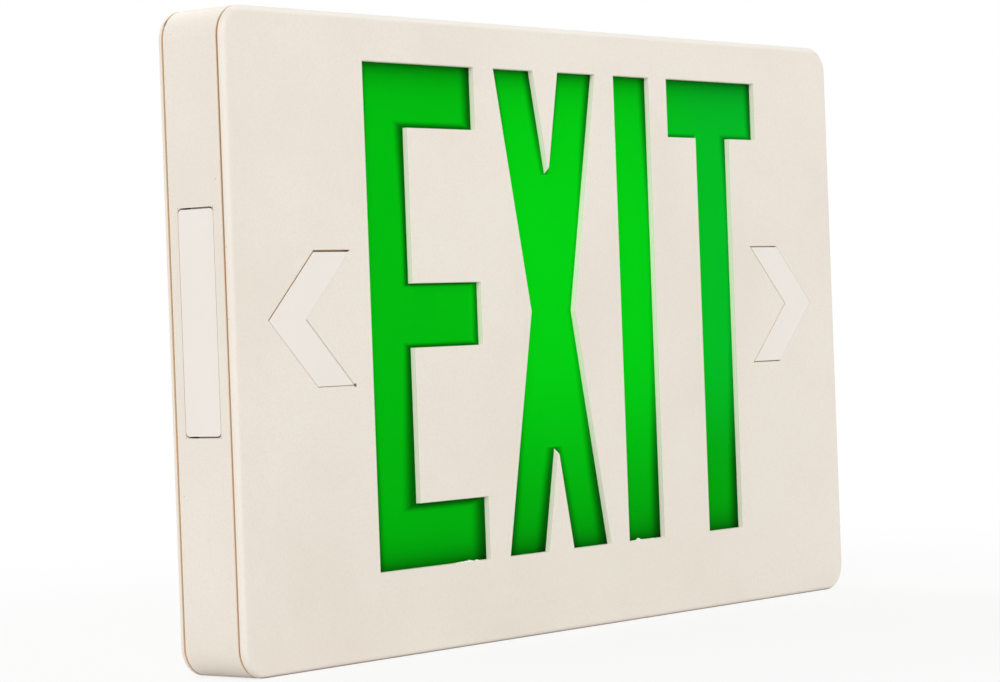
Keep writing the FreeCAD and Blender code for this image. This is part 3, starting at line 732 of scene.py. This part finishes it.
finishes = {
    "housing_plastic": housingFinish("housingPlastic", housingLook),
    "back_plastic": housingFinish("backPlastic", dict(housingLook, mottleScale=22)),
    "insert_plastic": plainMould("insertPlastic", insertLook),
    "lens_plastic": lensFinish("greenLens", lensLook),
    "reflector_plastic": plainMould("reflectorPlastic", plainLook((240, 240, 236), (232, 232, 226), 0.5)),
    "led_board": plainMould("ledBoardMask", plainLook((233, 234, 230), (224, 226, 220), 0.35)),
    "led_body": plainMould("ledBody", plainLook((244, 242, 232), (236, 232, 214), 0.3)),
    "driver_laminate": laminateFinish("driverLaminate", boardLook),
    "transformer_body": windingFinish("transformerWinding", windingLook),
    "capacitor_sleeve": sleeveFinish("capacitorSleeve", sleeveLook, (38, 42, 56), (24, 26, 36)),
    "resistor_body": plainMould("resistorBody", plainLook((40, 40, 42), (60, 58, 56), 0.4)),
    "black_epoxy": plainMould("blackEpoxy", plainLook((34, 34, 35), (48, 47, 46), 0.5)),
    "terminal_plastic": plainMould("terminalPlastic", plainLook((36, 122, 66), (30, 104, 56), 0.35)),
    "connector_plastic": plainMould("connectorPlastic", plainLook((236, 232, 220), (226, 221, 206), 0.38)),
    "battery_sleeve": sleeveFinish("batterySleeve", sleeveLook, (52, 92, 150), (38, 72, 124)),
    "clip_steel": plateFinish("clipSteel", metalLook, (196, 194, 188), 0.34, (0.1, 1, 1)),
    "screw_steel": plateFinish("screwSteel", metalLook, (214, 210, 202), 0.26, (1, 1, 1)),
    "wire_jacket": plainMould("wireJacket", plainLook((186, 34, 28), (160, 28, 24), 0.4)),
    "button_plastic": plainMould("buttonPlastic", plainLook((190, 36, 30), (172, 30, 26), 0.32, 0.45)),
    "switch_body": plainMould("switchBody", plainLook((40, 40, 42), (52, 51, 50), 0.45)),
    "indicator_lens": plainMould("indicatorLens", plainLook((196, 40, 32), (170, 28, 24), 0.16, 0.5)),
}

nodeFinish = {part["node"]: part["material_slot"] for part in frame["record"]["subparts"]}
for name, node in frame["nodes"].items():
    node.data.materials[0] = finishes[nodeFinish[name]]
print("finishes made:", len(finishes))


# flash that the mould left along the lower edges of two of the letter openings
flashLook = {
    "seed": 7,
    "setback": 0.0002,
    "depth": 0.0005,
    "pitch": 0.00035,
    "bury": 0.0002,
    "peakWidth": 0.0009,
    "rise": (0.1, 1.0),
    "shift": (-0.3, 0.3),
    "sink": (0, 0.4),
    "runs": [
        # start and end along X, then the place of its peak, its height there and elsewhere
        (-0.0602, -0.0483, -0.0537, 0.00025, 0.00042),
        (0.0298, 0.0420, 0.0337, 0.0007, 0.0002),
    ],
    "finish": dict(
        mouldLook,
        colour=rgba(248, 246, 242),
        warm=rgba(240, 234, 226),
        specular=0.35,
        roughness=0.4,
        mottleScale=200,
    ),
}


def addPiece(name, mesh, body, finish):
    data = bpy.data.meshes.new(name)
    mesh.to_mesh(data)
    mesh.free()
    piece = bpy.data.objects.new(name, data)
    data.materials.append(finish)
    scene.collection.objects.link(piece)
    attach(piece, body)
    return piece


def tearEdge(corners, peak, peakHeight, height, look, dice):
    # the lower corners are buried in the plastic, the upper ones stand up unevenly
    for corner in corners:
        if corner.co.z < legend["low"]:
            corner.co.z = legend["low"] - look["bury"]
            continue
        rise = math.exp(-((corner.co.x - peak) / look["peakWidth"]) ** 2) * peakHeight
        corner.co.z = legend["low"] + rise + height * dice.uniform(*look["rise"])
        corner.co.x += look["pitch"] * dice.uniform(*look["shift"])
        corner.co.y += look["depth"] * dice.uniform(*look["sink"])


def addFlash(look):
    dice = random.Random(look["seed"])
    front = lowCorner.y + look["setback"]
    mesh = bmesh.new()
    for start, end, peak, peakHeight, height in look["runs"]:
        count = round((end - start) / look["pitch"])
        made = bmesh.ops.create_grid(mesh, x_segments=count, y_segments=1, size=0.5)["verts"]
        upright = Matrix.Translation(((start + end) / 2, front, legend["low"]))
        upright @= Matrix.Rotation(math.radians(90), 4, "X") @ Matrix.Diagonal((end - start, 1, 1, 1))
        bmesh.ops.transform(mesh, matrix=upright, verts=made)
        tearEdge(made, peak, peakHeight, height, look, dice)
    grown = bmesh.ops.extrude_face_region(mesh, geom=mesh.faces[:])["geom"]
    thick = [part for part in grown if isinstance(part, bmesh.types.BMVert)]
    bmesh.ops.translate(mesh, vec=(0, look["depth"], 0), verts=thick)
    bmesh.ops.recalc_face_normals(mesh, faces=mesh.faces[:])
    return addPiece("letterFlash", mesh, "sign", plainMould("flashPlastic", look["finish"]))


addFlash(flashLook)
print("flash added")

# lamps, sky and floor
lightSettings = {
    "sky": 0.66,
    "lamps": [
        # name, place, aim, size, power
        ("keyLamp", (-2.25, -1.5, 1.35), (0, 0, 0), 1.95, 31.5),
        ("fillLamp", (0.9, -1.7, 0.5), (0, 0, 0), 1.5, 5),
        ("backLamp", (0.3, 1.6, 1.2), (0, 0, 0), 1.4, 12),
    ],
    "floorColour": (0.86, 0.855, 0.85, 1),
    "floorGlow": 0.8,
    "shadowReach": (0.16, 0.5),
    "floorSize": 12.0,
}


def addLamp(name, place, aim, size, power):
    data = bpy.data.lights.new(name, "AREA")
    data.shape = "DISK"
    data.size = size
    data.energy = power
    lamp = bpy.data.objects.new(name, data)
    lamp.location = place
    lamp.rotation_euler = (Vector(aim) - Vector(place)).to_track_quat("-Z", "Y").to_euler()
    scene.collection.objects.link(lamp)


def seenDirectly(pen):
    # 1 for what the camera, glossy and glass rays see, 0 for the light on the object
    seen = [pen.node("LightPath", output=name)
            for name in ("Is Camera Ray", "Is Glossy Ray", "Is Transmission Ray")]
    return (seen[0] + seen[1] + seen[2]).smaller(1)


def addSky(settings):
    world = bpy.data.worlds.new("sky")
    scene.world = world
    world.use_nodes = True
    tree = world.node_tree
    pen = Socket(tree)
    light = pen.node("Background", values={"Color": (1, 1, 1, 1), "Strength": settings["sky"]})
    shown = pen.node("Background", values={"Color": (1, 1, 1, 1), "Strength": 1})
    both = pen.node("MixShader", values={0: seenDirectly(pen), 1: light, 2: shown})
    tree.links.new(both.plug, tree.nodes["World Output"].inputs["Surface"])


def addFloor(settings):
    mesh = bmesh.new()
    bmesh.ops.create_grid(mesh, x_segments=1, y_segments=1, size=settings["floorSize"])
    bmesh.ops.translate(mesh, vec=(0, 0, lowCorner.z), verts=mesh.verts)
    data = bpy.data.meshes.new("floor")
    mesh.to_mesh(data)
    mesh.free()
    floor = bpy.data.objects.new("floor", data)
    scene.collection.objects.link(floor)
    material = bpy.data.materials.new("floorPaint")
    material.use_nodes = True
    tree = material.node_tree
    tree.nodes.remove(tree.nodes["Principled BSDF"])
    pen = Socket(tree)
    matte = pen.node("BsdfDiffuse", values={"Color": settings["floorColour"]})
    glow = pen.node("Emission", values={"Color": (1, 1, 1, 1), "Strength": 1})
    # the floor keeps the shadow near the object and turns plain white further out
    place = pen.node("TexCoord", output="Object")
    away = pen.node("VectorMath", {"operation": "LENGTH"}, {0: place}, "Value")
    away = away.step(*settings["shadowReach"])
    share = seenDirectly(pen) * (settings["floorGlow"] + away * (1 - settings["floorGlow"]))
    both = pen.node("MixShader", values={0: share, 1: matte, 2: glow})
    tree.links.new(both.plug, tree.nodes["Material Output"].inputs["Surface"])
    data.materials.append(material)


for lamp in lightSettings["lamps"]:
    addLamp(*lamp)
addSky(lightSettings)
addFloor(lightSettings)
print("lamps, sky and floor set")
